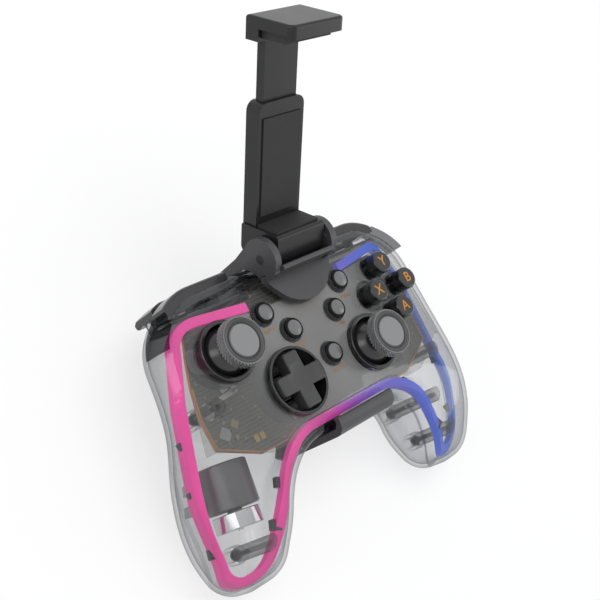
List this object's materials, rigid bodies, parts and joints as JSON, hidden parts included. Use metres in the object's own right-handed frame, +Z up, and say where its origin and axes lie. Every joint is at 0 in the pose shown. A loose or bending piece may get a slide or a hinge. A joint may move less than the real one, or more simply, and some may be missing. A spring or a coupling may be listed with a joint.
{
  "type": "gamepad",
  "caption": "Clear-shell wireless gamepad with thumbsticks, cross pad, face buttons, shoulder buttons, triggers, a lit rim and a clip-on tilting phone clamp.",
  "frame": {"origin": "middle of the whole part's footprint, at the height of the rubber heel pads it rests on", "axes": "+X to the player's right, +Y up the face towards the triggers, +Z up out of the face"},
  "size_m": [0.1602, 0.1894, 0.1236],
  "materials": {
    "clear_shell": "clear polished plastic",
    "smoke_liner": "smoke-tinted clear plastic",
    "light_guide": "milky light guide, lit pink on the left to blue on the right",
    "board": "black solder mask with a gold edge",
    "chips": "moulded chip packages and gold pads",
    "battery_foil": "foil pouch",
    "foam": "soft foam",
    "motor_steel": "dark drawn steel",
    "weight_steel": "dark sintered metal",
    "clear_frame": "clear plastic",
    "inner_steel": "pressed sheet steel",
    "inner_plastic": "satin moulded plastic",
    "black_gloss": "glossy black plastic",
    "black_matte": "fine-grained black plastic",
    "button_gloss": "dark clear-coated plastic",
    "membrane": "silicone rubber",
    "pin_steel": "ground steel",
    "spring_steel": "spring wire",
    "socket_steel": "pressed steel",
    "screw_steel": "black-plated screw",
    "holder_plastic": "fine-grained black plastic",
    "washer_plastic": "dark moulded plastic",
    "pad_rubber": "soft black rubber",
    "stick_rubber": "black rubber with a knurled rim"
  },
  "bodies": {
    "gamepad": {"front_shell": "clear_shell", "rear_shell": "clear_shell", "face_liner": "smoke_liner", "light_guide": "light_guide", "main_board": "board", "board_parts": "chips", "battery": "battery_foil", "battery_pad": "foam", "rumble_motor": "motor_steel", "motor_cradle": "clear_frame", "stick_housings": "inner_steel", "stick_wells": "black_gloss", "cross_pad_well": "black_gloss", "button_guides": "clear_frame", "button_rings": "black_gloss", "keypad_membranes": "membrane", "shoulder_frames": "black_matte", "shoulder_pins": "pin_steel", "trigger_springs": "spring_steel", "charging_socket": "socket_steel", "shell_screws": "screw_steel", "screw_posts": "clear_frame", "holder_tongue": "holder_plastic", "holder_arms": "holder_plastic", "shoulder_cheeks": "smoke_liner", "holder_back": "holder_plastic", "holder_hook": "holder_plastic", "heel_pads": "pad_rubber", "hinge_pin": "pin_steel", "friction_washers": "washer_plastic"},
    "motor_rotor": {"motor_shaft": "motor_steel", "motor_weight": "weight_steel"},
    "cross_pad_ring": {"cross_pad_gimbal": "inner_plastic"},
    "cross_pad_key": {"cross_pad": "black_matte"},
    "clamp": {"clamp_body": "holder_plastic", "clamp_pads": "pad_rubber", "clamp_spring": "spring_steel"},
    "jaw": {"clamp_jaw": "holder_plastic", "jaw_pad": "pad_rubber"},
    "left_stick_slider": {"left_stick_carrier": "inner_plastic"},
    "left_stick_ring": {"left_stick_yoke": "inner_plastic"},
    "left_stick": {"left_stick_stem": "inner_plastic", "left_stick_cap": "stick_rubber"},
    "left_bumper_key": {"left_bumper": "black_gloss"},
    "left_trigger_key": {"left_trigger": "black_gloss"},
    "right_stick_slider": {"right_stick_carrier": "inner_plastic"},
    "right_stick_ring": {"right_stick_yoke": "inner_plastic"},
    "right_stick": {"right_stick_stem": "inner_plastic", "right_stick_cap": "stick_rubber"},
    "right_bumper_key": {"right_bumper": "black_gloss"},
    "right_trigger_key": {"right_trigger": "black_gloss"},
    "button_y_key": {"button_y": "button_gloss"},
    "button_b_key": {"button_b": "button_gloss"},
    "button_a_key": {"button_a": "button_gloss"},
    "button_x_key": {"button_x": "button_gloss"},
    "minus_button_key": {"minus_button": "button_gloss"},
    "plus_button_key": {"plus_button": "button_gloss"},
    "capture_button_key": {"capture_button": "button_gloss"},
    "home_button_key": {"home_button": "button_gloss"},
    "turbo_button_key": {"turbo_button": "button_gloss"}
  },
  "joints": [
    {"name": "left_stick_click", "type": "slide", "parent": "gamepad", "child": "left_stick_slider", "axis": [0, 0, -1], "range_m": [0, 0.0006], "stiffness_N_per_m": 2500, "springref_m": -0.0003},
    {"name": "left_stick_pitch", "type": "hinge", "parent": "left_stick_slider", "child": "left_stick_ring", "pos_m": [-0.0461, -0.00932, 0.04155], "axis": [1, 0, 0], "range_deg": [-16, 16], "stiffness_Nm_per_rad": 0.05},
    {"name": "left_stick_roll", "type": "hinge", "parent": "left_stick_ring", "child": "left_stick", "pos_m": [-0.0461, -0.00932, 0.04155], "axis": [0, 1, 0], "range_deg": [-16, 16], "stiffness_Nm_per_rad": 0.05},
    {"name": "right_stick_click", "type": "slide", "parent": "gamepad", "child": "right_stick_slider", "axis": [0, 0, -1], "range_m": [0, 0.0006], "stiffness_N_per_m": 2500, "springref_m": -0.0003},
    {"name": "right_stick_pitch", "type": "hinge", "parent": "right_stick_slider", "child": "right_stick_ring", "pos_m": [0.023, -0.03163, 0.04316], "axis": [1, 0, 0], "range_deg": [-16, 16], "stiffness_Nm_per_rad": 0.05},
    {"name": "right_stick_roll", "type": "hinge", "parent": "right_stick_ring", "child": "right_stick", "pos_m": [0.023, -0.03163, 0.04316], "axis": [0, 1, 0], "range_deg": [-16, 16], "stiffness_Nm_per_rad": 0.05},
    {"name": "cross_pad_roll", "type": "hinge", "parent": "gamepad", "child": "cross_pad_ring", "pos_m": [-0.023, -0.03163, 0.04104], "axis": [0, 1, 0], "range_deg": [-4.5, 4.5], "stiffness_Nm_per_rad": 0.12},
    {"name": "cross_pad_pitch", "type": "hinge", "parent": "cross_pad_ring", "child": "cross_pad_key", "pos_m": [-0.023, -0.03163, 0.04104], "axis": [1, 0, 0], "range_deg": [-4.5, 4.5], "stiffness_Nm_per_rad": 0.12},
    {"name": "button_y_press", "type": "slide", "parent": "gamepad", "child": "button_y_key", "axis": [0, 0, -1], "range_m": [0, 0.0015], "stiffness_N_per_m": 500, "springref_m": -0.0004},
    {"name": "button_b_press", "type": "slide", "parent": "gamepad", "child": "button_b_key", "axis": [0, 0, -1], "range_m": [0, 0.0015], "stiffness_N_per_m": 500, "springref_m": -0.0004},
    {"name": "button_a_press", "type": "slide", "parent": "gamepad", "child": "button_a_key", "axis": [0, 0, -1], "range_m": [0, 0.0015], "stiffness_N_per_m": 500, "springref_m": -0.0004},
    {"name": "button_x_press", "type": "slide", "parent": "gamepad", "child": "button_x_key", "axis": [0, 0, -1], "range_m": [0, 0.0015], "stiffness_N_per_m": 500, "springref_m": -0.0004},
    {"name": "minus_button_press", "type": "slide", "parent": "gamepad", "child": "minus_button_key", "axis": [0, 0, -1], "range_m": [0, 0.0008], "stiffness_N_per_m": 900, "springref_m": -0.0003},
    {"name": "plus_button_press", "type": "slide", "parent": "gamepad", "child": "plus_button_key", "axis": [0, 0, -1], "range_m": [0, 0.0008], "stiffness_N_per_m": 900, "springref_m": -0.0003},
    {"name": "capture_button_press", "type": "slide", "parent": "gamepad", "child": "capture_button_key", "axis": [0, 0, -1], "range_m": [0, 0.0008], "stiffness_N_per_m": 900, "springref_m": -0.0003},
    {"name": "home_button_press", "type": "slide", "parent": "gamepad", "child": "home_button_key", "axis": [0, 0, -1], "range_m": [0, 0.0008], "stiffness_N_per_m": 900, "springref_m": -0.0003},
    {"name": "turbo_button_press", "type": "slide", "parent": "gamepad", "child": "turbo_button_key", "axis": [0, 0, -1], "range_m": [0, 0.0008], "stiffness_N_per_m": 900, "springref_m": -0.0003},
    {"name": "right_bumper_press", "type": "hinge", "parent": "gamepad", "child": "right_bumper_key", "pos_m": [0.0286, 0.01477, 0.03704], "axis": [0, 0, -1], "range_deg": [0, 3], "stiffness_Nm_per_rad": 0.4, "springref_deg": -1.72},
    {"name": "right_trigger_pull", "type": "hinge", "parent": "gamepad", "child": "right_trigger_key", "pos_m": [0.0447, 0.01317, 0.02744], "axis": [-1, 0, 0], "range_deg": [0, 14], "stiffness_Nm_per_rad": 0.08, "springref_deg": -5.73},
    {"name": "left_bumper_press", "type": "hinge", "parent": "gamepad", "child": "left_bumper_key", "pos_m": [-0.0286, 0.01477, 0.03704], "axis": [0, 0, 1], "range_deg": [0, 3], "stiffness_Nm_per_rad": 0.4, "springref_deg": -1.72},
    {"name": "left_trigger_pull", "type": "hinge", "parent": "gamepad", "child": "left_trigger_key", "pos_m": [-0.0447, 0.01317, 0.02744], "axis": [-1, 0, 0], "range_deg": [0, 14], "stiffness_Nm_per_rad": 0.08, "springref_deg": -5.73},
    {"name": "motor_spin", "type": "hinge", "parent": "gamepad", "child": "motor_rotor", "pos_m": [-0.0573, -0.04623, 0.02334], "axis": [-0.1736, -0.9848, 0], "continuous": true},
    {"name": "clamp_tilt", "type": "hinge", "parent": "gamepad", "child": "clamp", "pos_m": [0.0015, 0.01707, 0.05404], "axis": [1, 0, 0], "range_deg": [-12, 45]},
    {"name": "jaw_slide", "type": "slide", "parent": "clamp", "child": "jaw", "axis": [0, 0.7302, 0.6833], "range_m": [-0.022, 0.012]}
  ]
}
